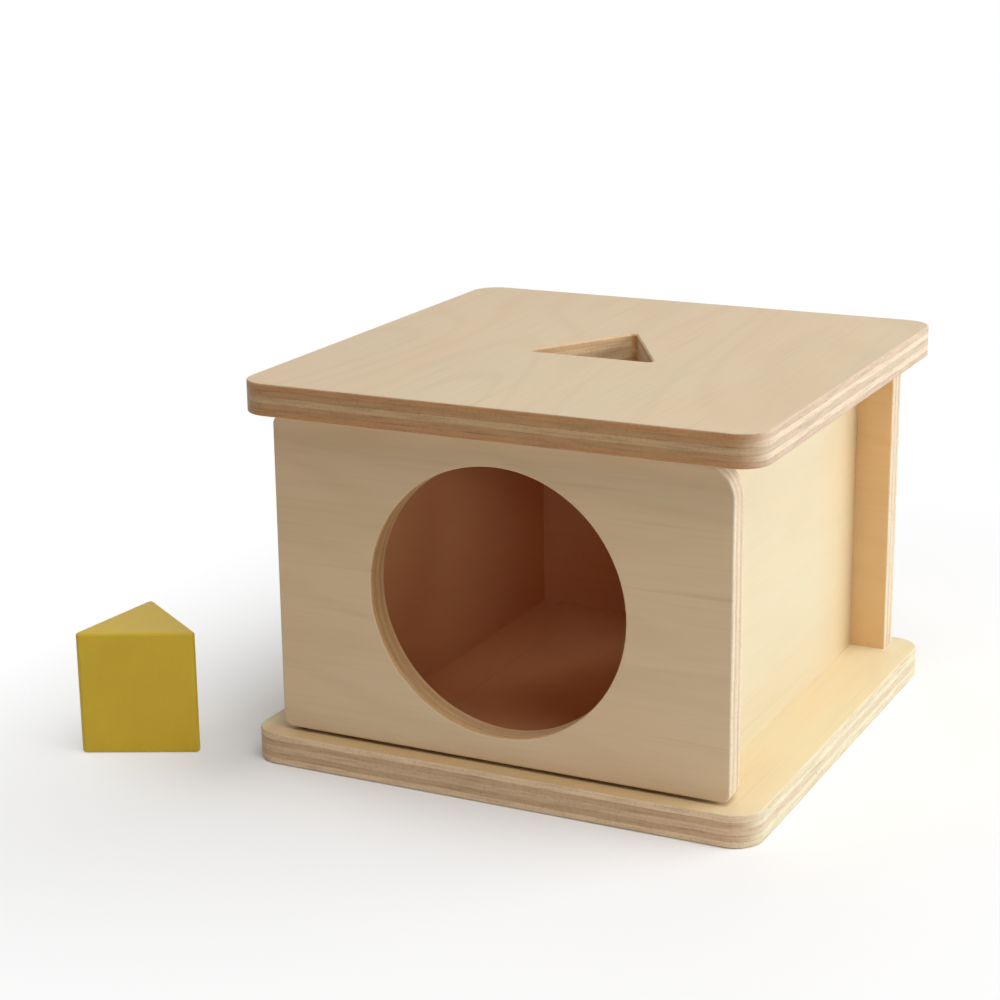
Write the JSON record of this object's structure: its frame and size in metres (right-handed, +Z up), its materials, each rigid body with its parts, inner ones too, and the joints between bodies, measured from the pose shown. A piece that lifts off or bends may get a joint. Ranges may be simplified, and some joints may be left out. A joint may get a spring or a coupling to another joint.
{
  "type": "object permanence box",
  "caption": "Plywood posting box with a triangular slot in its lid, a swinging front door with a round retrieval port and a loose painted triangular prism to drop through the slot.",
  "frame": {"origin": "middle of the base's underside, on the surface that the box stands on", "axes": "+Z up, -Y out of the shut front door with the round port, +X to the right as seen from the front"},
  "size_m": [0.2362, 0.1992, 0.1312],
  "materials": {
    "plate_plywood": "clear matt lacquer over pale veneer, layered edges",
    "panel_plywood": "clear matt lacquer over pale veneer, layered edges",
    "dowel_wood": "bare",
    "pivot_steel": "dull browned wire",
    "prism_paint": "satin mustard paint"
  },
  "bodies": {
    "box": {"base_plate": "plate_plywood", "lid_plate": "plate_plywood", "back_panel": "panel_plywood", "left_side_panel": "panel_plywood", "right_side_panel": "panel_plywood", "door_pivots": "pivot_steel", "base_dowels": "dowel_wood", "lid_dowels": "dowel_wood", "back_panel_dowels": "dowel_wood"},
    "door": {"front_door": "panel_plywood"},
    "prism": {"triangular_prism": "prism_paint"}
  },
  "joints": [
    {"name": "door_swing", "type": "hinge", "parent": "box", "child": "door", "pos_m": [-0.074, -0.0795, 0.066], "axis": [0, 0, -1], "range_deg": [0, 135]},
    {"name": "prism_lift", "type": "slide", "parent": "box", "child": "prism", "axis": [0, 0, 1], "range_m": [0, 0.2]}
  ]
}
